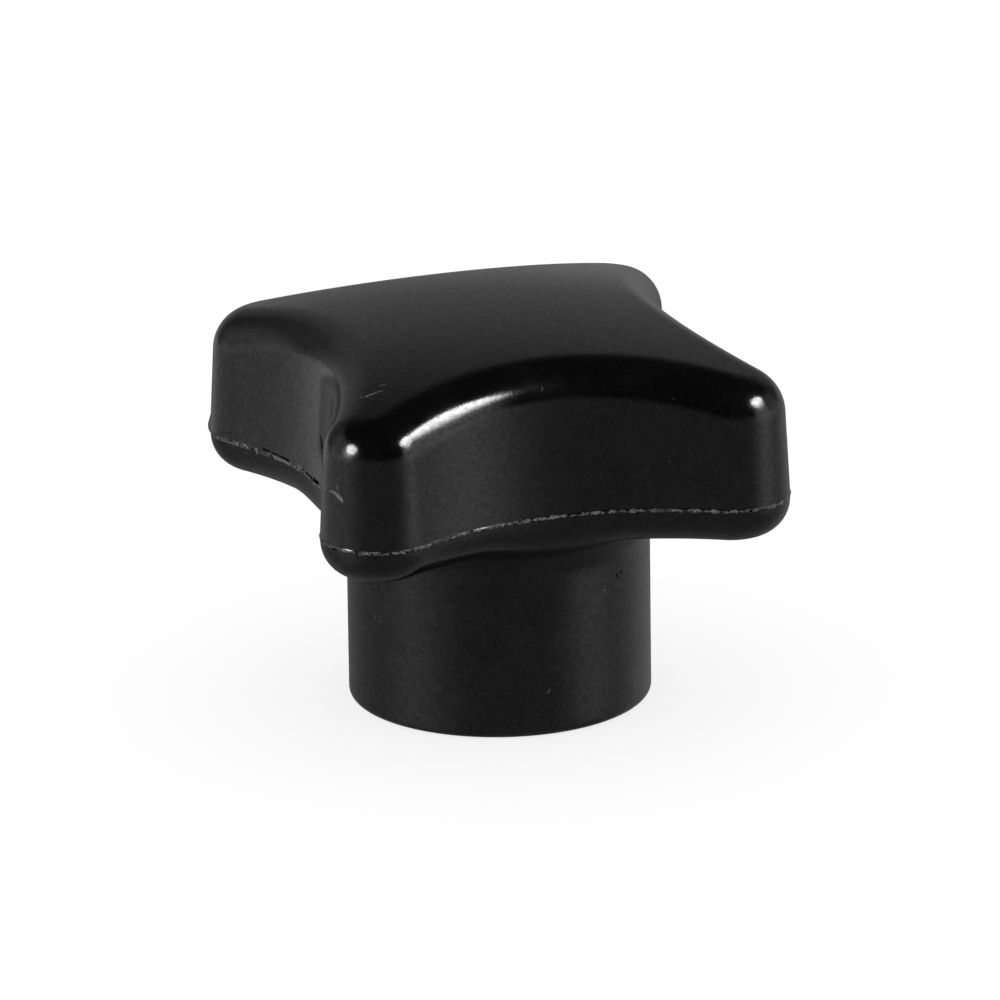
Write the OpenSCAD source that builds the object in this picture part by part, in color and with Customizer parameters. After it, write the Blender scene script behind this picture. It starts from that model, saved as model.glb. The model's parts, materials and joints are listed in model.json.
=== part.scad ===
// Cross knob: a four-armed palm grip moulded in black thermoset around a brass bush.
// The knob stands on the end face of its hub, with its axis on Z and its arms along X and Y.

/* [Head] */
// Width across two opposite arms, at the parting line
head_width = 50; // [46:0.5:56]
// Radius of the rounded end of each arm
arm_end_r = 4.6; // [4.2:0.1:6]
// Distance from the axis to the middle of each hollow flank
flank_gap = 15.1; // [14.2:0.1:16.5]
// Height of the knob at its axis
knob_height = 32; // [29:0.5:38]
// Height of the flat underside of the head
underside_z = 16; // [12:0.5:18]
// Height of the parting line above the underside
parting_rise = 3.1; // [3:0.1:5]
// Radius of the sphere that the crown is cut from
crown_r = 85; // [70:1:200]
// Draft of the side walls, in degrees
wall_draft = 3; // [0.5:0.5:4]
// Radius of the edge between the side walls and the crown
top_edge_r = 3.5; // [2:0.1:3.8]
// Radius of the edge between the side walls and the underside
low_edge_r = 2.8; // [1:0.1:2.9]
// How far the parting line stands out from the side walls
parting_proud = 0.1; // [0.05:0.01:0.2]

/* [Hub] */
// Diameter of the hub
hub_d = 24; // [20:0.5:26]
// Radius of the hub's lower edge
hub_edge_r = 0.6; // [0.2:0.1:1.5]
// Radius of the fillet between the hub and the head
hub_fillet_r = 3; // [1:0.1:4]

/* [Insert] */
// Diameter over the tips of the knurl
insert_d = 15; // [14:0.5:17]
// Length of the bush
insert_length = 20; // [17:0.5:22]
// Number of teeth in the knurl
knurl_teeth = 36; // [24:1:48]
// Depth of the knurl
knurl_depth = 0.6; // [0.3:0.1:0.8]
// Width of the locking groove between the two knurled bands
groove_width = 3; // [1.5:0.5:5]
// Diameter of the hole before its thread is cut
tap_hole_d = 8.5; // [6.8:0.1:8.8]
// Depth of the full diameter of the hole
tap_hole_depth = 16; // [10:0.5:16]

/* [Hidden] */

body_colour = [0.035, 0.035, 0.04];
brass_colour = [0.78, 0.62, 0.33];

arm_steps = 12;       // facets round one arm's end
flank_steps = 26;     // facets along one hollow flank
fillet_steps = 4;     // facets across the fillet under the head
edge_steps = 7;       // facets across the top edge, and across the lower edge
crown_rings = 6;      // rings between the top edge and the middle of the crown
round_fn = 96;        // smoothness of everything turned

parting_z = underside_z + parting_rise;
parting_half = 0.15;  // half the height of the raised parting line
low_draft = 2;        // draft of the short wall under the parting line
fillet_sink = 0.04;   // how far inside the hub's side the fillet starts
fillet_end = 0.97;    // share of the fillet's arc at its last ring, just before the lower edge

collar_height = 1.2;  // plain ring at the mouth of the bush
collar_d = insert_d + 0.4;
groove_d = insert_d - 2 * knurl_depth - 1.2;
pilot_height = 1;     // bevelled end of the bush, inside the moulding
pilot_inset = 0.2;    // how far that end lies inside the roots of the knurl
mouth_d = tap_hole_d + 2.3;
drill_point = 118;    // angle of the drill's point

// ---- plan outline of the head: four rounded ends joined by four hollow flanks ----

// An arm's end is an arc about [arm_x, 0]. The flank beside it is an arc about a point on the
// 45 degree line, tangent to the arm's end and flank_gap from the axis at its middle.
arm_x = head_width / 2 - arm_end_r;
end_to_gap = flank_gap - arm_end_r;
flank_x = (arm_x * arm_x - end_to_gap * end_to_gap) / (sqrt(2) * arm_x - 2 * end_to_gap);
flank_centre = flank_x * [cos(45), sin(45)];
flank_r = flank_x - flank_gap;
meet_angle = atan2(flank_centre.y, flank_centre.x - arm_x);

function turned(v, a) = [v.x * cos(a) - v.y * sin(a), v.x * sin(a) + v.y * cos(a)];
function along(a) = [cos(a), sin(a)];

// Stations of one quarter of the outline: [point at the parting line, outward normal].
quarter = concat(
    [for (i = [0 : arm_steps - 1])
        let (n = along(-meet_angle + 2 * meet_angle * i / arm_steps))
        [[arm_x, 0] + arm_end_r * n, n]],
    [for (i = [0 : flank_steps - 1])
        let (e = along(180 + meet_angle + (90 - 2 * meet_angle) * i / flank_steps))
        [flank_centre + flank_r * e, -e]]
);
stations = [for (k = [0 : 3], s = quarter) [turned(s[0], 90 * k), turned(s[1], 90 * k)]];

// ---- rings of the head, from the hub's side up to the crown ----

function raised(v, z) = [v.x, v.y, z];
function tilted(n, a) = [n.x * cos(a), n.y * cos(a), sin(a)];
function unit(v) = v / norm(v);

// Direction a share t of the way from unit vector u to unit vector v, along the arc between them.
function between(u, v, t) =
    let (w = acos(u * v)) (sin((1 - t) * w) * u + sin(t * w) * v) / sin(w);

// The fillet's arc has its centre at this distance from the knob's axis and at this height.
fillet_centre_r = hub_d / 2 + hub_fillet_r - fillet_sink;
fillet_centre_z = underside_z - hub_fillet_r;

// The lower edge is a ball rolled along the wall and along the flat underside, or over the fillet
// where a flank comes close to the hub. Its centre is found by stepping between its distance from
// the wall and its height.

function low_ball_in(z) = low_edge_r * cos(low_draft)
    + (parting_z - z + low_edge_r * sin(low_draft)) * tan(low_draft);
function low_ball_z(p) = fillet_centre_z
    + sqrt(pow(hub_fillet_r + low_edge_r, 2) - pow(max(fillet_centre_r - norm(p), 0), 2));
function low_ball(s, z = underside_z + low_edge_r, tries = 3) =
    let (p = s[0] - low_ball_in(z) * s[1])
    tries == 0 ? raised(p, low_ball_z(p)) : low_ball(s, low_ball_z(p), tries - 1);

// Direction from the ball's centre to where it touches the fillet, or straight down once it is
// clear of the fillet.
function down_from(c) =
    let (p = [c.x, c.y])
    unit(raised(unit(p) * max(norm(p), fillet_centre_r), fillet_centre_z) - c);

function fillet(s, t) =
    let (c = low_ball(s), u = unit([c.x, c.y]))
    raised(fillet_centre_r * u, fillet_centre_z)
    + hub_fillet_r * between(raised(-u, 0), -down_from(c), t);

function low_edge(s, t) =
    let (c = low_ball(s))
    c + low_edge_r * between(down_from(c), tilted(s[1], -low_draft), t);

// The top edge is a ball rolled along the drafted wall and the crown's sphere, found the same way.
sphere_z = knob_height - crown_r;

function top_ball_in(z) = top_edge_r * cos(wall_draft)
    + (z + top_edge_r * sin(wall_draft) - parting_z) * tan(wall_draft);
function top_ball_z(p) = sphere_z + sqrt(pow(crown_r - top_edge_r, 2) - p * p);
function top_ball(s, z = knob_height - top_edge_r, tries = 4) =
    let (p = s[0] - top_ball_in(z) * s[1])
    tries == 0 ? raised(p, top_ball_z(p)) : top_ball(s, top_ball_z(p), tries - 1);

function top_edge(s, t) =
    let (c = top_ball(s))
    c + top_edge_r * between(tilted(s[1], wall_draft), unit(c - [0, 0, sphere_z]), t);

function crown(s, t) =
    let (e = (1 - t) * top_edge(s, 1))
    [e.x, e.y, sphere_z + sqrt(crown_r * crown_r - e.x * e.x - e.y * e.y)];

function wall(s, up) =
    raised(s[0] - abs(up) * tan(up > 0 ? wall_draft : low_draft) * s[1], parting_z + up);

head_rings = concat(
    [for (j = [0 : fillet_steps]) [for (s = stations) fillet(s, fillet_end * j / fillet_steps)]],
    [for (j = [0 : edge_steps]) [for (s = stations) low_edge(s, j / edge_steps)]],
    [[for (s = stations) wall(s, -parting_half)]],
    [[for (s = stations) raised(s[0] + parting_proud * s[1], parting_z)]],
    [[for (s = stations) wall(s, parting_half)]],
    [for (j = [0 : edge_steps]) [for (s = stations) top_edge(s, j / edge_steps)]],
    [for (j = [1 : crown_rings - 1]) [for (s = stations) crown(s, j / crown_rings)]]
);

// A closed skin over rings of equal length, drawn to one point at each end.
module skin(rings, foot, tip) {
    n = len(rings[0]);
    last = (len(rings) - 1) * n;
    points = concat([for (r = rings, p = r) p], [foot, tip]);
    faces = concat(
        [for (i = [0 : n - 1]) [i, (i + 1) % n, last + n]],
        [for (j = [0 : n : last - n], i = [0 : n - 1], half = [0, 1])
            let (k = (i + 1) % n)
            half == 0 ? [j + i, j + n + i, j + n + k] : [j + i, j + n + k, j + k]],
        [for (i = [0 : n - 1]) [last + i, last + n + 1, last + (i + 1) % n]]
    );
    polyhedron(points, faces);
}

module head() {
    skin(head_rings, foot = [0, 0, fillet_centre_z], tip = [0, 0, knob_height]);
}

// The hub is turned, with a rounded lower edge, and runs up into the head.
module hub() {
    r = hub_d / 2;
    rotate_extrude($fn = round_fn) polygon(concat(
        [[0, 0]],
        [for (a = [-90 : 15 : 0]) [r - hub_edge_r, hub_edge_r] + hub_edge_r * along(a)],
        [[r, underside_z], [0, underside_z]]
    ));
}

module knob_body() {
    color(body_colour) difference() {
        union() {
            head();
            hub();
        }
        insert_form();
        // clears the mouth of the pocket below the hub's end face
        translate([0, 0, -1]) cylinder(d = collar_d, h = 1.5, $fn = round_fn);
    }
}

// ---- the bush ----

module knurled_band(z, h) {
    tips = insert_d / 2;
    translate([0, 0, z]) linear_extrude(h) polygon([
        for (i = [0 : 2 * knurl_teeth - 1])
            (i % 2 == 0 ? tips : tips - knurl_depth) * along(180 * i / knurl_teeth)
    ]);
}

// Outside of the bush, which is also the pocket that the moulding leaves for it.
module insert_form() {
    groove_z = (collar_height + insert_length - pilot_height - groove_width) / 2;
    band_top = insert_length - pilot_height;
    pilot_r = insert_d / 2 - knurl_depth - pilot_inset;
    knurled_band(collar_height, groove_z - collar_height);
    knurled_band(groove_z + groove_width, band_top - groove_z - groove_width);
    rotate_extrude($fn = round_fn) polygon([
        [0, 0], [collar_d / 2, 0], [collar_d / 2, collar_height], [groove_d / 2, collar_height],
        [groove_d / 2, band_top], [pilot_r, band_top], [pilot_r - pilot_height, insert_length],
        [0, insert_length]
    ]);
}

// The hole: a bevelled mouth, the straight wall that is tapped, and the drill's point.
module tapped_hole() {
    r = tap_hole_d / 2;
    bevel = mouth_d / 2 - r;
    rotate_extrude($fn = round_fn) polygon([
        [0, -1], [mouth_d / 2 + 1, -1], [r, bevel], [r, tap_hole_depth],
        [0, tap_hole_depth + r / tan(drill_point / 2)]
    ]);
}

module threaded_insert() {
    color(brass_colour) difference() {
        insert_form();
        tapped_hole();
    }
}

knob_body();
threaded_insert();
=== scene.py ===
import json
import math

import bpy
import numpy as np
from mathutils import Matrix, Vector


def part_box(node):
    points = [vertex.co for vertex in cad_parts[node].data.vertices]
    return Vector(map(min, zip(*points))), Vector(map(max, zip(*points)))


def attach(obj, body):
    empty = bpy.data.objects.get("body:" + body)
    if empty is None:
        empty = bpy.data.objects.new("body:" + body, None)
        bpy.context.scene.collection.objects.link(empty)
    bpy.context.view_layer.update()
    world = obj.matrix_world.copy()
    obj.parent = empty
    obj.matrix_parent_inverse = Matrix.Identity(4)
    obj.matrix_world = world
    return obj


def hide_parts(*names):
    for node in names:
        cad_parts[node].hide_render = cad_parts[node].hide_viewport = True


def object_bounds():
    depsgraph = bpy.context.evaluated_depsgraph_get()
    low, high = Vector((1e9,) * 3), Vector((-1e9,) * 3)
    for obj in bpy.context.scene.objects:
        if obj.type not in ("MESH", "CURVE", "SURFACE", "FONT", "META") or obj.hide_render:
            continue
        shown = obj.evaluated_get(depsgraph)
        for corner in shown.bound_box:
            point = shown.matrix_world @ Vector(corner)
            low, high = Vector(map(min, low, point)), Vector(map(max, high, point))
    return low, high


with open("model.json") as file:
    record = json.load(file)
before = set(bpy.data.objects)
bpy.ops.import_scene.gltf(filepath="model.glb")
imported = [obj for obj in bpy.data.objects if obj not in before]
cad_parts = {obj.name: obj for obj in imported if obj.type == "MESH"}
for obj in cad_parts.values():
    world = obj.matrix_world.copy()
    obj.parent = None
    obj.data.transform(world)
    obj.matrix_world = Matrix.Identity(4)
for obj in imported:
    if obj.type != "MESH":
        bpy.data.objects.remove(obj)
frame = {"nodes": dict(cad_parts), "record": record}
cadBox = [list(corner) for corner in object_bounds()]
print("frame: nodes", ", ".join(sorted(frame["nodes"])))

mm = 0.001
knobLow, knobHigh = [np.array(corner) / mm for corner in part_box("knob_body")]
bushHigh = np.array(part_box("threaded_insert")[1]) / mm
slotColours = {m["slot"]: m["base_color"] for m in frame["record"]["materials"]}

# lengths in the dictionaries below are in millimetres and angles in degrees, unless a note says otherwise


def unitRows(v):
    return v / np.linalg.norm(v, axis=-1, keepdims=True)


def between(u, v, share):
    # direction a share of the way along the arc from u to v, row by row
    w = np.arccos(np.clip((u * v).sum(-1, keepdims=True), -1, 1))
    return (np.sin((1 - share) * w) * u + np.sin(share * w) * v) / np.sin(w)


def tilted(normals, degrees):
    a = math.radians(degrees)
    return np.c_[normals * math.cos(a), np.full(len(normals), math.sin(a))]


def smoothNoise(length, count, rng, octaves=3):
    # a closed, smooth random line of the given length in steps, from -1 to 1
    t = np.arange(length) / length * 2 * np.pi
    line = np.zeros(length)
    for octave in range(octaves):
        waves = count * 2**octave
        for k in range(waves, waves * 2, max(1, waves // 12)):
            line += np.cos(k * t + rng.uniform(0, 2 * np.pi)) * 0.6**octave
    return line / np.abs(line).max()


def meshObject(name, points, faces, smooth=True):
    mesh = bpy.data.meshes.new(name)
    mesh.from_pydata((np.asarray(points) * mm).tolist(), [], faces)
    mesh.polygons.foreach_set("use_smooth", [smooth] * len(mesh.polygons))
    mesh.update()
    piece = bpy.data.objects.new(name, mesh)
    bpy.context.scene.collection.objects.link(piece)
    return piece


def skinFaces(ringCount, n, startPoint, endPoint):
    # quads between neighbouring rings of n points, and a fan to one point at each end
    j, i = np.meshgrid(np.arange(ringCount - 1), np.arange(n), indexing="ij")
    k = (i + 1) % n
    quads = np.stack([j * n + i, j * n + k, (j + 1) * n + k, (j + 1) * n + i], -1).reshape(-1, 4).tolist()
    last = (ringCount - 1) * n
    foot = [(startPoint, (m + 1) % n, m) for m in range(n)]
    tip = [(endPoint, last + m, last + (m + 1) % n) for m in range(n)]
    return quads + foot + tip


moulding = {
    "armEndRadius": 4.6,
    "flankGap": 15.1,         # axis to the middle of each hollow flank
    "underside": 16.0,
    "partingHeight": 19.1,
    "crownRadius": 85.0,
    "wallDraft": 3.0,
    "lowDraft": 2.0,
    "topEdgeRadius": 3.5,
    "lowEdgeRadius": 2.8,
    "hubRadius": 12.0,
    "hubEdgeRadius": 0.6,
    "hubFilletRadius": 3.0,
    "pocketInset": 0.2,       # how far the pocket lies inside its mouth
    "pocketMouth": 1.2,       # depth of the pocket's wider mouth
    "pocketBevel": 0.6,
    "faceRadii": (9.0, 10.6),           # extra rings across the end face
    "filletEnd": 0.98,        # share of the fillet's arc at its last ring, just before the lower edge
    "flashProud": 0.1,        # most that the flash stands out
    "flashHalf": 0.18,
    "flashPeak": 0.1,         # where it stands out most, as a share of its half height
    "flashEven": 0.45,        # even part of how far it stands out; the rest comes in waves
    "flashWaves": ((9, 0.3), (60, 0.35)),   # waves round the outline, and their share
    "flashWander": (14, 0.035),         # waves round the outline, and how far it strays up or down
    # sections across the flash and just above it, as shares of its half height
    "flashSections": (-1.15, -1, -0.6, -0.25, 0.1, 0.45, 0.75, 1, 1.15, 2.5, 4.5, 7),
    "burr": (206.7, 0.55, 0.22, 1.0),   # leftover burr: outline angle, length, depth, height
    "armSteps": 34,
    "flankSteps": 92,
    "hubEdgeRings": 9,
    "hubRings": 14,
    "filletRings": 14,
    "lowEdgeRings": 15,
    "wallRings": 15,
    "topEdgeRings": 19,
    "crownRings": 27,
    "seed": 11,
}


def headStations(m, width):
    # plan outline at the parting line: points and outward normals, one quarter after another
    armX = width / 2 - m["armEndRadius"]
    endToGap = m["flankGap"] - m["armEndRadius"]
    flankX = (armX**2 - endToGap**2) / (math.sqrt(2) * armX - 2 * endToGap)
    centre = flankX * np.array([math.sqrt(0.5), math.sqrt(0.5)])
    flankRadius = flankX - m["flankGap"]
    meet = math.atan2(centre[1], centre[0] - armX)
    armAngles = -meet + 2 * meet * np.arange(m["armSteps"]) / m["armSteps"]
    flankAngles = math.pi + meet + (math.pi / 2 - 2 * meet) * np.arange(m["flankSteps"]) / m["flankSteps"]
    armNormals = np.c_[np.cos(armAngles), np.sin(armAngles)]
    flankRays = np.c_[np.cos(flankAngles), np.sin(flankAngles)]
    points = np.r_[np.array([armX, 0]) + m["armEndRadius"] * armNormals, centre + flankRadius * flankRays]
    normals = np.r_[armNormals, -flankRays]
    turns = [np.array([[c, s], [-s, c]]) for c, s in ((1, 0), (0, 1), (-1, 0), (0, -1))]
    return np.vstack([points @ t for t in turns]), np.vstack([normals @ t for t in turns])


def buildMoulding(m):
    low, high = knobLow, knobHigh
    height = high[2]
    p, n = headStations(m, high[0] - low[0] - 2 * m["flashProud"])
    count = len(p)
    rng = np.random.default_rng(m["seed"])
    seam, under = m["partingHeight"], m["underside"]
    rings, flash = [], []

    def add(ring, worn=None):
        rings.append(ring)
        flash.append(np.zeros(count) if worn is None else worn)

    def level(points, z):
        return np.c_[points, np.full(count, z) if np.isscalar(z) else z]

    # lower edge: a ball rolled along the wall and the flat underside, or over the hub's fillet
    r, fillet = m["lowEdgeRadius"], m["hubFilletRadius"]
    lean = math.radians(m["lowDraft"])
    filletOut, filletZ = m["hubRadius"] + fillet, under - fillet
    z = np.full(count, under + r)
    for _ in range(4):
        ballIn = r * math.cos(lean) + (seam - z + r * math.sin(lean)) * math.tan(lean)
        q = p - ballIn[:, None] * n
        reach = np.linalg.norm(q, axis=1)
        z = filletZ + np.sqrt((fillet + r) ** 2 - np.clip(filletOut - reach, 0, None) ** 2)
    lowBall = level(q, z)
    around = q / reach[:, None]
    filletCentre = level(around * filletOut, filletZ)
    touch = unitRows(level(around * np.maximum(reach, filletOut)[:, None], filletZ) - lowBall)

    # pocket, end face and hub are round rings in the directions of the lower edge's stations
    pocket = bushHigh[2]
    mouth, bevel = m["pocketMouth"], m["pocketBevel"]
    mouthRadius = bushHigh[0]
    pocketRadius = mouthRadius - m["pocketInset"]
    profile = [(mouthRadius - bevel, pocket), (pocketRadius, pocket - bevel), (pocketRadius, mouth),
               (mouthRadius, mouth), (mouthRadius, 0.0)] + [(radius, 0.0) for radius in m["faceRadii"]]
    for radius, z in profile:
        add(level(around * radius, z))
    edge = m["hubEdgeRadius"]
    for a in np.radians(np.linspace(-90, 0, m["hubEdgeRings"])):
        add(level(around * (m["hubRadius"] - edge + edge * math.cos(a)), edge + edge * math.sin(a)))
    for z in np.linspace(edge, filletZ, m["hubRings"])[1:-1]:
        add(level(around * m["hubRadius"], z))
    for t in np.linspace(0, m["filletEnd"], m["filletRings"]):
        add(filletCentre + fillet * between(level(-around, 0.0), -touch, np.full((count, 1), t)))
    lastRing = rings[-1]
    for t in (0.25, 0.5, 0.75):
        add(lastRing + (lowBall + r * touch - lastRing) * t)
    for t in np.linspace(0, 1, m["lowEdgeRings"]):
        add(lowBall + r * between(touch, tilted(n, -m["lowDraft"]), np.full((count, 1), t)))

    # parting line: two halves of the mould meet here and leave a thin broken flash
    proud = m["flashEven"]
    for waves, strength in m["flashWaves"]:
        proud = proud + strength * smoothNoise(count, waves, rng)
    proud = np.clip(proud, 0.05, 1) * m["flashProud"]
    waves, stray = m["flashWander"]
    wander = stray * smoothNoise(count, waves, rng)
    half = m["flashHalf"]
    burrAngle, burrLength, burrDepth, burrHeight = m["burr"]
    burrAt = p[np.argmax(n @ [math.cos(math.radians(burrAngle)), math.sin(math.radians(burrAngle))])]
    burr = burrDepth * np.exp(-((p - burrAt) ** 2).sum(1) / (burrLength / 2) ** 2)
    for share in m["flashSections"]:
        up = half * share
        shape = max(0.0, 1 - abs(share - m["flashPeak"]) / (1 - m["flashPeak"])) ** 0.5
        drift = wander * max(0.0, 1 - abs(share))
        back = abs(up) * math.tan(math.radians(m["lowDraft"] if up < 0 else m["wallDraft"]))
        lump = burr * max(0.0, 1 - abs(up - 0.3 * burrHeight) / burrHeight)
        worn = np.maximum(shape, np.minimum(1, lump / burrDepth * 1.5))
        add(level(p + (np.maximum(proud * shape, lump) - back)[:, None] * n, seam + up + drift), worn)

    # top edge: a ball rolled along the drafted wall and the crown
    r = m["topEdgeRadius"]
    lean = math.radians(m["wallDraft"])
    sphere = np.array([0, 0, height - m["crownRadius"]])
    z = np.full(count, height - r)
    for _ in range(5):
        ballIn = r * math.cos(lean) + (z + r * math.sin(lean) - seam) * math.tan(lean)
        q = p - ballIn[:, None] * n
        z = sphere[2] + np.sqrt((m["crownRadius"] - r) ** 2 - (q**2).sum(1))
    topBall = level(q, z)
    wall = tilted(n, m["wallDraft"])
    crownward = unitRows(topBall - sphere)
    wallTop = topBall + r * wall
    wallFoot = rings[-1]
    for t in np.linspace(0, 1, m["wallRings"])[1:-1]:
        add(wallFoot + (wallTop - wallFoot) * t)
    for t in np.linspace(0, 1, m["topEdgeRings"]):
        add(topBall + r * between(wall, crownward, np.full((count, 1), t)))
    rim = rings[-1][:, :2]
    for t in np.linspace(1, 0, m["crownRings"])[1:-1]:
        e = rim * t
        add(level(e, sphere[2] + np.sqrt(m["crownRadius"] ** 2 - (e**2).sum(1))))

    points = np.vstack(rings + [[[0, 0, pocket], [0, 0, height]]])
    last = len(points)
    piece = meshObject("knobMoulding", points, skinFaces(len(rings), count, last - 2, last - 1))
    worn = piece.data.attributes.new("flash", "FLOAT", "POINT")
    worn.data.foreach_set("value", np.r_[np.concatenate(flash), 0, 0].astype(np.float32))
    print("moulding:", len(piece.data.vertices), "points")
    return piece


bush = {
    "collarHeight": 1.2,
    "collarEdge": 0.12,      # bevel at the collar's rim
    "knurlInset": 0.2,       # how far the knurl's tips lie inside the collar
    "knurlDepth": 0.6,
    "knurlTeeth": 36,
    "grooveWidth": 3.0,
    "grooveDepth": 0.6,      # below the roots of the knurl
    "pilotHeight": 1.0,      # bevelled inner end
    "pilotInset": 1.0,       # how far its start lies inside the collar
    "stepHeight": 0.02,      # rise of each shoulder, which keeps its edge sharp
    "boreRadius": 4.25,
    "boreDepth": 16.0,
    "mouthRadius": 5.4,
    "drillPoint": 118.0,
    "threadPitch": 1.5,
    "threadRoot": 5.02,      # the screw is 10 across
    "threadDepth": 14.6,
    "threadRunOut": 1.2,     # length over which the thread dies away
    "rootFlat": 0.125,       # shares of the pitch: flat at the thread's root, and each flank
    "flankShare": 0.3125,
    "steps": 144,
    "rowsPerTurn": 24,
}


def buildBush(b):
    n = b["steps"]
    a = np.arange(n) * 2 * np.pi / n
    outer, top, step = bushHigh[0], bushHigh[2], b["stepHeight"]
    tooth = np.abs((a * b["knurlTeeth"] / (2 * np.pi) + 0.5) % 1 - 0.5) * 2
    knurl = outer - b["knurlInset"] - b["knurlDepth"] * tooth
    groove = outer - b["knurlInset"] - b["knurlDepth"] - b["grooveDepth"]
    collar, edge = b["collarHeight"], b["collarEdge"]
    pilot = top - b["pilotHeight"]
    middle = (collar + pilot - b["grooveWidth"]) / 2
    grooveEnd = middle + b["grooveWidth"]
    plain = np.ones(n)
    rows = [(plain * b["mouthRadius"], 0.0), (plain * (outer - edge), 0.0), (plain * outer, edge),
            (plain * outer, collar), (knurl, collar + step), (knurl, middle),
            (plain * groove, middle + step), (plain * groove, grooveEnd - step), (knurl, grooveEnd),
            (knurl, pilot - step), (plain * (outer - b["pilotInset"]), pilot),
            (plain * (outer - b["pilotInset"] - b["pilotHeight"]), top)]
    outside = [np.c_[np.cos(a) * radius, np.sin(a) * radius, np.full(n, z)] for radius, z in rows]
    # the bore, with the screw thread turned into it
    bore = []
    count = int(b["boreDepth"] / b["threadPitch"] * b["rowsPerTurn"])
    for z in np.linspace(0, b["boreDepth"], count)[1:]:
        turn = (z / b["threadPitch"] - a / (2 * np.pi)) % 1
        flank = np.clip((np.abs(turn - 0.5) - b["rootFlat"] / 2) / b["flankShare"], 0, 1)
        fade = np.clip((b["threadDepth"] - z) / b["threadRunOut"], 0, 1)
        radius = b["boreRadius"] + (b["threadRoot"] - b["boreRadius"]) * (1 - flank) * fade
        radius = np.maximum(radius, b["mouthRadius"] - z)
        bore.append(np.c_[np.cos(a) * radius, np.sin(a) * radius, np.full(n, z)])
    rings = outside[::-1] + bore
    point = b["boreDepth"] + b["boreRadius"] / math.tan(math.radians(b["drillPoint"] / 2))
    points = np.vstack(rings + [[[0, 0, top], [0, 0, point]]])
    last = len(points)
    faces = [f[::-1] for f in skinFaces(len(rings), n, last - 2, last - 1)]
    piece = meshObject("threadedBush", points, faces)
    print("bush:", len(piece.data.vertices), "points")
    return piece


def newGroup(name, inputs, outputs):
    group = bpy.data.node_groups.new(name, "ShaderNodeTree")
    for socketName, kind, value in inputs:
        made = group.interface.new_socket(socketName, in_out="INPUT", socket_type=kind)
        made.default_value = value
    for socketName, kind in outputs:
        group.interface.new_socket(socketName, in_out="OUTPUT", socket_type=kind)
    return group, group.nodes.new("NodeGroupInput"), group.nodes.new("NodeGroupOutput")


def addNode(tree, kind, values=None, **settings):
    made = tree.nodes.new(kind)
    for key, value in settings.items():
        setattr(made, key, value)
    for key, value in (values or {}).items():
        if isinstance(value, bpy.types.NodeSocket):
            tree.links.new(value, made.inputs[key])
        else:
            made.inputs[key].default_value = value
    return made


def mathNode(tree, operation, *values):
    return addNode(tree, "ShaderNodeMath", dict(enumerate(values)), operation=operation).outputs[0]


def productNode(tree, first, *others):
    for other in others:
        first = mathNode(tree, "MULTIPLY", first, other)
    return first


def vectorNode(tree, operation, values, output=0):
    return addNode(tree, "ShaderNodeVectorMath", values, operation=operation).outputs[output]


def groupNode(tree, group, values):
    return addNode(tree, "ShaderNodeGroup", values, node_tree=group)


def mixColour(tree, share, first, second):
    return addNode(tree, "ShaderNodeMix", {0: share, 6: first, 7: second}, data_type="RGBA").outputs[2]


def rangeNode(tree, value, fromLow, fromHigh, toLow=0.0, toHigh=1.0):
    made = addNode(tree, "ShaderNodeMapRange", {0: value, 1: fromLow, 2: fromHigh, 3: toLow, 4: toHigh},
                   interpolation_type="SMOOTHSTEP")
    return made.outputs[0]


def noiseNode(tree, vector, scale, detail=2.0, roughness=0.5):
    made = addNode(tree, "ShaderNodeTexNoise",
                   {"Vector": vector, "Scale": scale, "Detail": detail, "Roughness": roughness})
    return made.outputs[0]


def makeGrainGroup():
    # fine grain of a pressed or cut surface: a height, and a mask of duller blotches
    group, given, result = newGroup(
        "surfaceGrain",
        [("Vector", "NodeSocketVector", (0, 0, 0)), ("Grain Scale", "NodeSocketFloat", 1500.0),
         ("Wave Scale", "NodeSocketFloat", 160.0), ("Wave Share", "NodeSocketFloat", 0.5)],
        [("Height", "NodeSocketFloat"), ("Blotch", "NodeSocketFloat")],
    )
    fine = noiseNode(group, given.outputs["Vector"], given.outputs["Grain Scale"], 3.0, 0.6)
    wave = noiseNode(group, given.outputs["Vector"], given.outputs["Wave Scale"], 2.0, 0.5)
    mixed = mathNode(group, "ADD", fine, mathNode(group, "MULTIPLY", wave, given.outputs["Wave Share"]))
    group.links.new(mixed, result.inputs["Height"])
    group.links.new(rangeNode(group, wave, 0.35, 0.68), result.inputs["Blotch"])
    return group


def makeSpeckGroup():
    # sparse pits or specks: a mask that is 1 inside each one
    group, given, result = newGroup(
        "sparseSpecks",
        [("Vector", "NodeSocketVector", (0, 0, 0)), ("Scale", "NodeSocketFloat", 400.0),
         ("Size", "NodeSocketFloat", 0.12), ("Share", "NodeSocketFloat", 0.1)],
        [("Mask", "NodeSocketFloat")],
    )
    cells = addNode(group, "ShaderNodeTexVoronoi",
                    {"Vector": given.outputs["Vector"], "Scale": given.outputs["Scale"]})
    split = addNode(group, "ShaderNodeSeparateColor", {"Color": cells.outputs["Color"]})
    chosen = mathNode(group, "LESS_THAN", split.outputs[0], given.outputs["Share"])
    near = mathNode(group, "LESS_THAN", cells.outputs["Distance"],
                    mathNode(group, "MULTIPLY", given.outputs["Size"], split.outputs[1]))
    group.links.new(mathNode(group, "MULTIPLY", chosen, near), result.inputs["Mask"])
    return group


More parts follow.
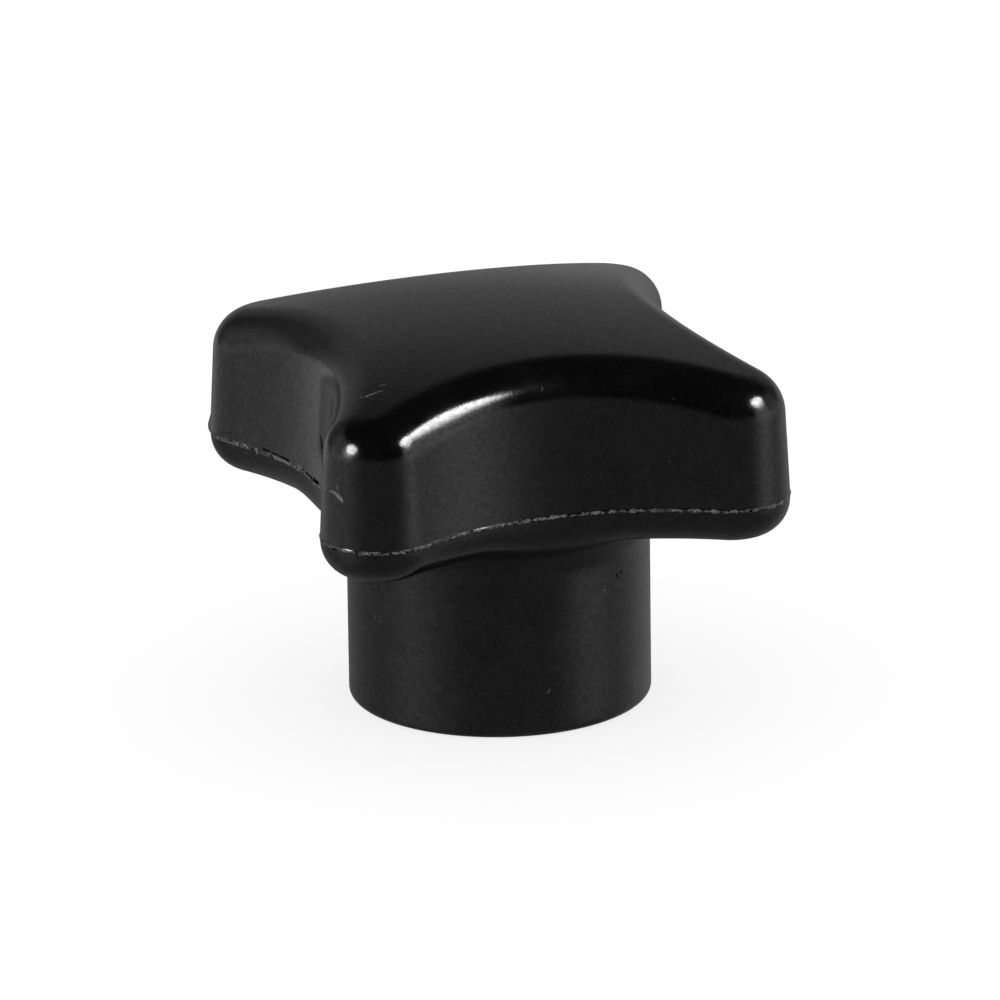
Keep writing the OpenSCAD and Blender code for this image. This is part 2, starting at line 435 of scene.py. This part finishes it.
def makeStrokesGroup():
    # short fine scratches lying along the surface, each in its own direction: lighter and darker ones
    group, given, result = newGroup(
        "fineStrokes",
        [("Vector", "NodeSocketVector", (0, 0, 0)), ("Normal", "NodeSocketVector", (0, 0, 1)),
         ("Scale", "NodeSocketFloat", 600.0), ("Length", "NodeSocketFloat", 0.0005),
         ("Width", "NodeSocketFloat", 0.00007), ("Share", "NodeSocketFloat", 0.5)],
        [("Lighter", "NodeSocketFloat"), ("Darker", "NodeSocketFloat")],
    )
    cells = addNode(group, "ShaderNodeTexVoronoi",
                    {"Vector": given.outputs["Vector"], "Scale": given.outputs["Scale"]})
    offset = vectorNode(group, "SUBTRACT", {0: given.outputs["Vector"], 1: cells.outputs["Position"]})
    spin = vectorNode(group, "SUBTRACT", {0: cells.outputs["Color"], 1: (0.5, 0.5, 0.5)})
    lying = vectorNode(group, "CROSS_PRODUCT", {0: spin, 1: given.outputs["Normal"]})
    run = vectorNode(group, "NORMALIZE", {0: lying})
    side = vectorNode(group, "CROSS_PRODUCT", {0: run, 1: given.outputs["Normal"]})
    along = mathNode(group, "ABSOLUTE", vectorNode(group, "DOT_PRODUCT", {0: offset, 1: run}, "Value"))
    across = mathNode(group, "ABSOLUTE", vectorNode(group, "DOT_PRODUCT", {0: offset, 1: side}, "Value"))
    split = addNode(group, "ShaderNodeSeparateColor", {"Color": cells.outputs["Color"]})
    reach = mathNode(group, "MULTIPLY", given.outputs["Length"], split.outputs[1])
    inLength = rangeNode(group, mathNode(group, "SUBTRACT", reach, along), 0.0, given.outputs["Width"])
    inWidth = rangeNode(group, across, mathNode(group, "MULTIPLY", given.outputs["Width"], 0.3),
                        given.outputs["Width"], 1.0, 0.0)
    chosen = mathNode(group, "LESS_THAN", split.outputs[0], given.outputs["Share"])
    stroke = productNode(group, inLength, inWidth, chosen)
    light = mathNode(group, "LESS_THAN", split.outputs[2], 0.5)
    group.links.new(mathNode(group, "MULTIPLY", stroke, light), result.inputs["Lighter"])
    group.links.new(mathNode(group, "MULTIPLY", stroke, mathNode(group, "SUBTRACT", 1.0, light)),
                    result.inputs["Darker"])
    return group


def makeSegmentGroup():
    # one scratch or nick between two points: a mask with a ragged edge
    group, given, result = newGroup(
        "raggedScratch",
        [("Vector", "NodeSocketVector", (0, 0, 0)), ("Start", "NodeSocketVector", (0, 0, 0)),
         ("End", "NodeSocketVector", (0, 0, 0.001)), ("Width", "NodeSocketFloat", 0.0001),
         ("Ragged Scale", "NodeSocketFloat", 7000.0)],
        [("Mask", "NodeSocketFloat")],
    )
    fromStart = vectorNode(group, "SUBTRACT", {0: given.outputs["Vector"], 1: given.outputs["Start"]})
    span = vectorNode(group, "SUBTRACT", {0: given.outputs["End"], 1: given.outputs["Start"]})
    reached = vectorNode(group, "DOT_PRODUCT", {0: fromStart, 1: span}, "Value")
    whole = vectorNode(group, "DOT_PRODUCT", {0: span, 1: span}, "Value")
    share = addNode(group, "ShaderNodeClamp", {0: mathNode(group, "DIVIDE", reached, whole)}).outputs[0]
    foot = vectorNode(group, "SCALE", {0: span, "Scale": share})
    away = vectorNode(group, "DISTANCE", {0: fromStart, 1: foot}, "Value")
    ragged = noiseNode(group, given.outputs["Vector"], given.outputs["Ragged Scale"], 2.0, 0.6)
    ragged = rangeNode(group, ragged, 0.3, 0.65, 0.35, 1.5)
    width = mathNode(group, "MULTIPLY", given.outputs["Width"], ragged)
    mask = rangeNode(group, mathNode(group, "DIVIDE", away, width), 0.5, 1.0, 1.0, 0.0)
    group.links.new(mask, result.inputs["Mask"])
    return group


grainGroup = makeGrainGroup()
speckGroup = makeSpeckGroup()
strokesGroup = makeStrokesGroup()
segmentGroup = makeSegmentGroup()


def newMaterial(name):
    material = bpy.data.materials.new(name)
    material.use_nodes = True
    tree = material.node_tree
    return material, tree, tree.nodes["Principled BSDF"]


blackMoulding = {
    "base": (0.0010, 0.0010, 0.0012, 1),
    "duller": (0.0034, 0.0034, 0.0037, 1),
    "flashColour": (0.135, 0.132, 0.118, 1),
    "markColour": (0.13, 0.128, 0.12, 1),
    "speckColour": (0.02, 0.02, 0.02, 1),
    "roughness": 0.11,
    "blotchRoughness": 0.04,
    "ior": 1.40,
    "polish": 0.35,           # weight of the polished skin
    "polishRoughness": 0.10,
    "grainScale": 4200.0,
    "waveScale": 330.0,
    "waveShare": 0.6,
    "grainDepth": 0.000008,   # metres
    "speckScale": 900.0,
    "speckSize": 0.16,
    "speckShare": 0.03,
    "speckDepth": 0.3,        # as a share of the grain
    "mottle": 0.17,           # how unevenly the skin shines
    "mottleScale": 2700.0,
    # cells per metre, longest half length and half width in metres, share of cells that hold a stroke
    "strokes": ((560.0, 0.0008, 0.00007, 0.6), (1150.0, 0.0004, 0.00006, 0.5)),
    "strokeDepth": 0.4,
    # the corner under the head, with painted shade: its polished skin is taken off so it mirrors less where
    # the head shades it; heights it fades in and out over, and how dull it is
    "corner": (13.3, 14.6, 16.2, 17.0),
    "cornerDullness": 0.25,
    # noise along the flash: scale, and the two levels that it fades between
    "flashEdge": (2000.0, 0.36, 0.66),
    "flashCrumbs": (2600.0, 0.40, 0.58),
    "flashPatches": (420.0, 0.38, 0.56),
    "flashGaps": (3100.0, 0.60, 0.66),
    "wornRoughness": 0.4,     # added on the flash and the knocks
    "nickRoughness": 0.85,
    # knocks, scratches and torn bits of flash on this knob: start, end, half width, how pale
    "knocks": (
        ((-1.54, -19.22, 29.78), (-1.19, -18.69, 29.91), 0.11, 0.8),
        ((-1.19, -18.69, 29.91), (-0.70, -18.10, 30.05), 0.08, 0.6),
        ((-1.30, -17.44, 30.18), (-0.91, -17.19, 30.24), 0.07, 0.5),
        ((-1.90, -19.40, 29.70), (-1.84, -19.34, 29.71), 0.10, 0.5),
        ((-2.34, -24.09, 23.44), (-1.86, -24.35, 23.54), 0.12, 0.6),
        ((-1.86, -24.35, 23.54), (-1.42, -24.54, 23.37), 0.16, 0.9),
        ((-1.42, -24.54, 23.37), (-1.01, -24.67, 23.07), 0.20, 1.0),
        ((-1.53, -24.45, 24.14), (-1.32, -24.56, 23.64), 0.08, 0.4),
        ((-23.20, -3.66, 18.97), (-22.04, -4.32, 19.02), 0.09, 0.7),
        ((-22.04, -4.32, 19.02), (-20.13, -4.88, 18.97), 0.10, 0.8),
        ((-20.13, -4.88, 18.97), (-19.37, -5.13, 18.93), 0.08, 0.5),
        ((-18.59, -5.49, 19.12), (-18.48, -5.47, 18.85), 0.16, 1.0),
        ((-18.11, -5.64, 18.98), (-17.19, -6.05, 18.95), 0.12, 0.5),
        ((-16.45, -6.44, 19.03), (-15.56, -6.95, 19.05), 0.17, 1.0),
        ((-15.29, -7.10, 19.13), (-14.66, -7.48, 19.00), 0.17, 1.0),
        ((-13.81, -8.08, 19.04), (-13.09, -8.60, 19.05), 0.14, 0.9),
        ((-13.35, -8.40, 19.30), (-12.83, -8.75, 19.36), 0.12, 0.6),
        ((-12.36, -9.17, 19.03), (-11.41, -9.97, 18.94), 0.11, 0.5),
        ((-10.90, -10.44, 18.82), (-9.82, -11.67, 19.05), 0.16, 0.8),
        ((8.43, -8.54, 3.62), (8.58, -8.39, 3.82), 0.10, 0.28),
        ((11.25, -4.17, 11.15), (11.35, -3.91, 11.12), 0.08, 0.28),
        ((11.29, -4.06, 11.43), (11.30, -4.04, 11.45), 0.09, 0.25),
        ((-5.52, -10.66, 8.66), (-5.58, -10.63, 8.46), 0.08, 0.3),
        ((-5.23, -10.80, 8.29), (-4.94, -10.93, 8.35), 0.05, 0.3),
        ((9.39, -10.72, 29.44), (9.43, -10.80, 29.27), 0.09, 0.25),
    ),
    # nicks, rough and with painted shade, black and mirroring nothing as shadowed hollows: start, end, half
    # width
    "shadedNicks": (
        ((-1.58, -19.30, 29.66), (-1.54, -19.28, 29.67), 0.07),
        ((-17.89, -5.72, 19.36), (-17.06, -6.11, 19.32), 0.10),
        ((-16.70, -6.29, 19.34), (-16.08, -6.62, 19.32), 0.11),
        ((-15.83, -6.76, 19.32), (-14.66, -7.46, 19.32), 0.11),
        ((-12.61, -8.91, 19.58), (-12.60, -8.94, 19.30), 0.08),
        ((-12.02, -9.47, 19.25), (-11.17, -10.25, 19.20), 0.09),
        ((-10.78, -10.67, 19.22), (-9.93, -11.45, 19.27), 0.21),
        ((-9.60, -11.52, 23.00), (-9.30, -11.90, 22.45), 0.33),
        ((11.69, -2.71, 11.92), (11.70, -2.65, 12.07), 0.09),
        ((11.79, -2.21, 12.07), (11.83, -2.01, 12.05), 0.09),
        ((-6.87, -9.84, 8.59), (-6.86, -9.85, 8.57), 0.07),
        ((7.51, -9.36, 3.11), (7.63, -9.26, 2.97), 0.06),
    ),
}

turnedBrass = {
    "base": (*slotColours["bush"], 1),
    "tarnish": (0.60, 0.42, 0.19, 1),
    "roughness": 0.28,
    "tarnishRoughness": 0.15,    # added where it has tarnished
    "grainScale": 3200.0,
    "waveScale": 420.0,
    "waveShare": 0.4,
    "grainDepth": 0.000004,      # metres
    "toolPitch": 0.00011,        # metres from one turning mark to the next
    "toolDepth": 0.5,            # as a share of the grain
}


def makeBlackMoulding(f):
    material, tree, shader = newMaterial("blackMoulding")
    spot = addNode(tree, "ShaderNodeTexCoord")
    place = spot.outputs["Object"]
    grain = groupNode(tree, grainGroup, {"Vector": place, "Grain Scale": f["grainScale"],
                                         "Wave Scale": f["waveScale"], "Wave Share": f["waveShare"]})
    specks = groupNode(tree, speckGroup, {"Vector": place, "Scale": f["speckScale"],
                                          "Size": f["speckSize"], "Share": f["speckShare"]})

    # the flash: a dull, rough ridge with whitish crumbs along it
    ridge = addNode(tree, "ShaderNodeAttribute", attribute_name="flash").outputs["Fac"]

    def fadedNoise(noise, toLow=0.0, toHigh=1.0, detail=2.0, roughness=0.6):
        scale, low, high = noise
        return rangeNode(tree, noiseNode(tree, place, scale, detail, roughness), low, high, toLow, toHigh)

    ragged = fadedNoise(f["flashEdge"], 0.0, 0.85)
    flash = rangeNode(tree, mathNode(tree, "SUBTRACT", ridge, ragged), 0.0, 0.25)
    crumbs = fadedNoise(f["flashCrumbs"], 0.1, 1.0, 3.0, 0.7)
    patchy = fadedNoise(f["flashPatches"], 0.4, 1.0)
    gaps = fadedNoise(f["flashGaps"])
    gaps = productNode(tree, gaps, rangeNode(tree, ridge, 0.05, 0.3))
    flashMask = productNode(tree, flash, crumbs, patchy, mathNode(tree, "SUBTRACT", 1.0, gaps))

    def segmentMask(segments):
        total = None
        for start, end, width, *strength in segments:
            one = groupNode(tree, segmentGroup, {"Vector": place, "Start": Vector(start) * mm,
                                                 "End": Vector(end) * mm, "Width": width * mm}).outputs[0]
            if strength:
                one = productNode(tree, one, strength[0])
            total = one if total is None else mathNode(tree, "MAXIMUM", total, one)
        return total

    knocks = segmentMask(f["knocks"])
    # painted shade: nicks and the gaps in the flash go back to the base black below and become black metal,
    # so they mirror nothing
    shadedNicks = mathNode(tree, "MAXIMUM", segmentMask(f["shadedNicks"]), gaps)

    body = mixColour(tree, rangeNode(tree, grain.outputs["Height"], 0.55, 1.05), f["base"], f["duller"])
    body = mixColour(tree, specks.outputs["Mask"], body, f["speckColour"])
    body = mixColour(tree, knocks, body, f["markColour"])
    body = mixColour(tree, flashMask, body, f["flashColour"])
    body = mixColour(tree, shadedNicks, body, f["base"])
    tree.links.new(body, shader.inputs["Base Color"])
    rough = rangeNode(tree, grain.outputs["Blotch"], 0, 1,
                      f["roughness"], f["roughness"] + f["blotchRoughness"])
    worn = productNode(tree, mathNode(tree, "MAXIMUM", flash, knocks), f["wornRoughness"])
    worn = mathNode(tree, "MAXIMUM", worn, productNode(tree, shadedNicks, f["nickRoughness"]))
    # painted shade: the corner under the head gets rougher and loses its polished skin, so it mirrors less
    # and looks shaded
    cornerLow, cornerFull, cornerFade, cornerHigh = [z * mm for z in f["corner"]]
    level = addNode(tree, "ShaderNodeSeparateXYZ", {"Vector": place}).outputs[2]
    corner = productNode(tree, rangeNode(tree, level, cornerLow, cornerFull),
                         rangeNode(tree, level, cornerFade, cornerHigh, 1.0, 0.0))
    worn = mathNode(tree, "MAXIMUM", worn, productNode(tree, corner, f["cornerDullness"]))
    tree.links.new(mathNode(tree, "ADD", rough, worn), shader.inputs["Roughness"])

    # the polished skin: mottled, with fine strokes, and gone from flash, knocks, nicks and the corner; on the
    # nicks and the corner under the head this is painted shade
    mottle = noiseNode(tree, place, f["mottleScale"], 2.0, 0.6)
    skin = rangeNode(tree, mottle, 0.3, 0.7, f["polish"] - f["mottle"], f["polish"] + f["mottle"])
    for scale, length, width, share in f["strokes"]:
        strokes = groupNode(tree, strokesGroup, {"Vector": place, "Normal": spot.outputs["Normal"],
                                                 "Scale": scale, "Length": length,
                                                 "Width": width, "Share": share})
        change = mathNode(tree, "SUBTRACT", strokes.outputs["Lighter"], strokes.outputs["Darker"])
        skin = mathNode(tree, "ADD", skin, productNode(tree, change, f["strokeDepth"]))
    bareAndShaded = mathNode(tree, "MAXIMUM", mathNode(tree, "MAXIMUM", flash, knocks),
                    mathNode(tree, "MAXIMUM", shadedNicks, corner))
    skin = productNode(tree, skin, mathNode(tree, "SUBTRACT", 1.0, bareAndShaded))
    tree.links.new(addNode(tree, "ShaderNodeClamp", {0: skin}).outputs[0], shader.inputs["Coat Weight"])
    # painted shade: nicks and flash gaps are made black metal, so they mirror next to nothing, as shadowed
    # hollows would
    tree.links.new(shadedNicks, shader.inputs["Metallic"])
    shader.inputs["Coat Roughness"].default_value = f["polishRoughness"]
    shader.inputs["IOR"].default_value = f["ior"]

    height = mathNode(tree, "SUBTRACT", grain.outputs["Height"],
                      productNode(tree, specks.outputs["Mask"], f["speckDepth"]))
    bump = addNode(tree, "ShaderNodeBump", {"Height": height, "Strength": 1.0, "Distance": f["grainDepth"]})
    tree.links.new(bump.outputs["Normal"], shader.inputs["Normal"])
    return material


def makeTurnedBrass(f):
    material, tree, shader = newMaterial("turnedBrass")
    place = addNode(tree, "ShaderNodeTexCoord").outputs["Object"]
    grain = groupNode(tree, grainGroup, {"Vector": place, "Grain Scale": f["grainScale"],
                                         "Wave Scale": f["waveScale"], "Wave Share": f["waveShare"]})
    split = addNode(tree, "ShaderNodeSeparateXYZ", {"Vector": place})
    radius = mathNode(tree, "SQRT", mathNode(tree, "ADD", mathNode(tree, "POWER", split.outputs[0], 2.0),
                                             mathNode(tree, "POWER", split.outputs[1], 2.0)))
    rings = mathNode(tree, "SINE", productNode(tree, radius, 2 * math.pi / f["toolPitch"]))
    body = mixColour(tree, grain.outputs["Blotch"], f["base"], f["tarnish"])
    tree.links.new(body, shader.inputs["Base Color"])
    rough = rangeNode(tree, grain.outputs["Blotch"], 0, 1,
                      f["roughness"], f["roughness"] + f["tarnishRoughness"])
    tree.links.new(rough, shader.inputs["Roughness"])
    height = mathNode(tree, "ADD", grain.outputs["Height"], productNode(tree, rings, f["toolDepth"]))
    bump = addNode(tree, "ShaderNodeBump", {"Height": height, "Strength": 1.0, "Distance": f["grainDepth"]})
    tree.links.new(bump.outputs["Normal"], shader.inputs["Normal"])
    shader.inputs["Metallic"].default_value = 1.0
    return material


knobMoulding = buildMoulding(moulding)
knobMoulding.data.materials.append(makeBlackMoulding(blackMoulding))
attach(knobMoulding, "root")
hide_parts("knob_body")

threadedBush = buildBush(bush)
threadedBush.data.materials.append(makeTurnedBrass(turnedBrass))
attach(threadedBush, "root")
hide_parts("threaded_insert")
print("finishes: black moulding, turned brass")


cameraPlace = {
    "azimuth": 26.659,
    "elevation": 18.335,
    "distance": 0.79454,     # metres
    "aim": (0.162, 0.082, 15.778),
    "roll": 0.769,
    "lens": 362.294,
    "clip": (0.05, 20.0),    # metres
}


def direction(azimuth, elevation):
    a, e = math.radians(azimuth), math.radians(elevation)
    return Vector((math.sin(a) * math.cos(e), -math.cos(a) * math.cos(e), math.sin(e)))


def makeCamera(c):
    data = bpy.data.cameras.new("camera")
    camera = bpy.data.objects.new("camera", data)
    bpy.context.scene.collection.objects.link(camera)
    back = direction(c["azimuth"], c["elevation"])
    turn = back.to_track_quat("Z", "Y").to_matrix() @ Matrix.Rotation(-math.radians(c["roll"]), 3, "Z")
    camera.matrix_world = Matrix.Translation(Vector(c["aim"]) * mm + back * c["distance"]) @ turn.to_4x4()
    data.lens = c["lens"]
    data.clip_start, data.clip_end = c["clip"]
    bpy.context.scene.camera = camera


stageLook = {
    "floorSize": 6.0,         # metres
    "floorColour": (0.3, 0.3, 0.3, 1),
    "floorGlow": 0.76,
    "fill": 0.9,              # even light from all round
    # what the gloss mirrors of the room; azimuths count from the camera, to the right
    "roomTone": 0.02,
    "tableLevel": 0.165,
    "tableEdge": (5, 16),     # elevation of the table's far edge, and how soft it is
    # light pools on the table: azimuth, elevation, tightness, strength
    "pools": ((73, 2, 15, 1.0), (-66, -18, 9, 0.28), (115, -8, 12, 0.12), (-70, -12, 40, 0.11),
              (138, -18, 8, 0.10), (180, -12, 4, -0.08)),
    # soft glow round the boxes, written the same way
    "glows": ((72, 26, 110, 4.0), (-66, 16, 60, 5.2)),
    # walls and stands: azimuth and half width, lowest and highest elevation, both softnesses, strength
    "walls": (
        (177, 44, -5, 40, 36, 40, 0.165),
        (-126, 9, 8, 38, 16, 10, 0.11),
        (-120, 36, -16.8, -4, 14, 3, 0.22),
        (-92, 24, -5, 34, 26, 12, 0.44),
        (-50, 14, -6, 20, 12, 16, 0.12),
        (105, 15, -2, 30, 30, 16, 0.34),
        (72, 17, 5, 24, 8, 16, 0.93),
    ),
    # softboxes: name, azimuth from the camera, elevation, width, height, strength
    # the right one fades downwards, so it is three that overlap
    "boxes": (("rightTop", 74, 38.2, 0.66, 0.24, 6.0), ("rightMiddle", 72, 35.4, 0.75, 0.38, 10.5),
              ("rightLow", 72, 32.4, 0.78, 0.54, 7.0), ("leftBox", -62.5, 24, 0.61, 0.55, 16.0)),
    "boxDistance": 1.5,
    "bushLamp": (4.0, 0.6, 0.75),   # width and depth below the table in metres, strength
}


def makeWorld(s):
    world = bpy.data.worlds.new("studio")
    world.use_nodes = True
    world.cycles.sampling_method = "NONE"
    tree = world.node_tree
    background = tree.nodes["Background"]
    way = addNode(tree, "ShaderNodeTexCoord").outputs["Generated"]

    def along(axis):
        return vectorNode(tree, "DOT_PRODUCT", {0: way, 1: axis}, "Value")

    front = cameraPlace["azimuth"]
    turn = mathNode(tree, "ARCTAN2", along(direction(front + 90, 0)), along(direction(front, 0)))
    azimuth = mathNode(tree, "DEGREES", turn)
    elevation = mathNode(tree, "DEGREES", mathNode(tree, "ARCSINE", along((0, 0, 1))))

    def rise(value, edge, soft):
        return rangeNode(tree, value, edge - soft / 2, edge + soft / 2)

    def fall(value, edge, soft):
        return rangeNode(tree, value, edge - soft / 2, edge + soft / 2, 1.0, 0.0)

    def lobe(azimuth, elevation, tightness, strength):
        facing = mathNode(tree, "MAXIMUM", along(direction(front + azimuth, elevation)), 0.0)
        return productNode(tree, mathNode(tree, "POWER", facing, float(tightness)), strength)

    table = s["tableLevel"]
    for pool in s["pools"]:
        table = mathNode(tree, "ADD", table, lobe(*pool))
    table = productNode(tree, table, fall(elevation, *s["tableEdge"]))
    mirrored = mathNode(tree, "ADD", table, s["roomTone"])
    for glow in s["glows"]:
        mirrored = mathNode(tree, "ADD", mirrored, lobe(*glow))
    for middle, halfWidth, lowest, highest, softAcross, softUp, strength in s["walls"]:
        turned = mathNode(tree, "SUBTRACT", azimuth, middle)
        off = mathNode(tree, "ABSOLUTE", mathNode(tree, "WRAP", turned, 180.0, -180.0))
        wall = productNode(tree, fall(off, halfWidth, softAcross), rise(elevation, lowest, softUp),
                           fall(elevation, highest, softUp), strength)
        mirrored = mathNode(tree, "ADD", mirrored, wall)

    # white to the eye, the room to the gloss, even fill to the rest
    ray = addNode(tree, "ShaderNodeLightPath")
    seen = mathNode(tree, "MAXIMUM", ray.outputs["Is Camera Ray"], ray.outputs["Is Transmission Ray"])
    gloss = addNode(tree, "ShaderNodeMix", {0: ray.outputs["Is Glossy Ray"], 2: s["fill"], 3: mirrored},
                    data_type="FLOAT")
    level = addNode(tree, "ShaderNodeMix", {0: seen, 2: gloss.outputs[0], 3: 1.0}, data_type="FLOAT")
    tree.links.new(level.outputs[0], background.inputs["Strength"])
    background.inputs["Color"].default_value = (1, 1, 1, 1)
    bpy.context.scene.world = world


def makeFloor(s):
    half = s["floorSize"] / 2
    mesh = bpy.data.meshes.new("floor")
    corners = [(-half, -half, 0), (half, -half, 0), (half, half, 0), (-half, half, 0)]
    mesh.from_pydata(corners, [], [(0, 1, 2, 3)])
    floor = bpy.data.objects.new("floor", mesh)
    bpy.context.scene.collection.objects.link(floor)
    material, tree, shader = newMaterial("paleFloor")
    shader.inputs["Base Color"].default_value = s["floorColour"]
    shader.inputs["Roughness"].default_value = 1.0
    shader.inputs["Specular IOR Level"].default_value = 0.0
    ray = addNode(tree, "ShaderNodeLightPath")
    seen = mathNode(tree, "MAXIMUM", ray.outputs["Is Camera Ray"], ray.outputs["Is Transmission Ray"])
    glow = addNode(tree, "ShaderNodeEmission",
                   {"Color": (1, 1, 1, 1), "Strength": productNode(tree, seen, s["floorGlow"])})
    both = addNode(tree, "ShaderNodeAddShader", {0: shader.outputs[0], 1: glow.outputs[0]})
    clear = addNode(tree, "ShaderNodeBsdfTransparent")
    side = addNode(tree, "ShaderNodeNewGeometry").outputs["Backfacing"]
    mixed = addNode(tree, "ShaderNodeMixShader", {0: side, 1: both.outputs[0], 2: clear.outputs[0]})
    tree.links.new(mixed.outputs[0], tree.nodes["Material Output"].inputs["Surface"])
    mesh.materials.append(material)
    floor.visible_glossy = False
    floor.visible_diffuse = False
    floor.visible_shadow = False


def areaLamp(name, place, facing, width, height, strength):
    # strength is the lamp's brightness where the gloss mirrors it
    data = bpy.data.lights.new(name, "AREA")
    data.shape = "ELLIPSE"
    data.size, data.size_y = width, height
    data.energy = strength * math.pi * width * height * math.pi / 4
    lamp = bpy.data.objects.new(name, data)
    bpy.context.scene.collection.objects.link(lamp)
    lamp.matrix_world = Matrix.Translation(place) @ facing.to_track_quat("Z", "Y").to_matrix().to_4x4()
    lamp.visible_camera = False
    lamp.visible_diffuse = False
    return lamp


def makeLamps(s):
    low, high = Vector(cadBox[0]), Vector(cadBox[1])
    centre = low + (high - low) * 0.5 + Vector((0, 0, high.z * 0.3))
    for name, azimuth, elevation, width, height, strength in s["boxes"]:
        back = direction(cameraPlace["azimuth"] + azimuth, elevation)
        areaLamp(name, centre + back * s["boxDistance"], back, width, height, strength)
    # the brass faces down, so it has a wide lamp of its own under the table
    width, below, strength = s["bushLamp"]
    down = Vector((0, 0, -1))
    lamp = areaLamp("bushLamp", down * below, down, width, width, strength)
    brassOnly = bpy.data.collections.new("brassOnly")
    brassOnly.objects.link(threadedBush)
    lamp.light_linking.receiver_collection = brassOnly


makeCamera(cameraPlace)
makeWorld(stageLook)
makeFloor(stageLook)
makeLamps(stageLook)
bpy.context.scene.view_settings.view_transform = "Standard"
print("stage: camera, room, floor and lamps")
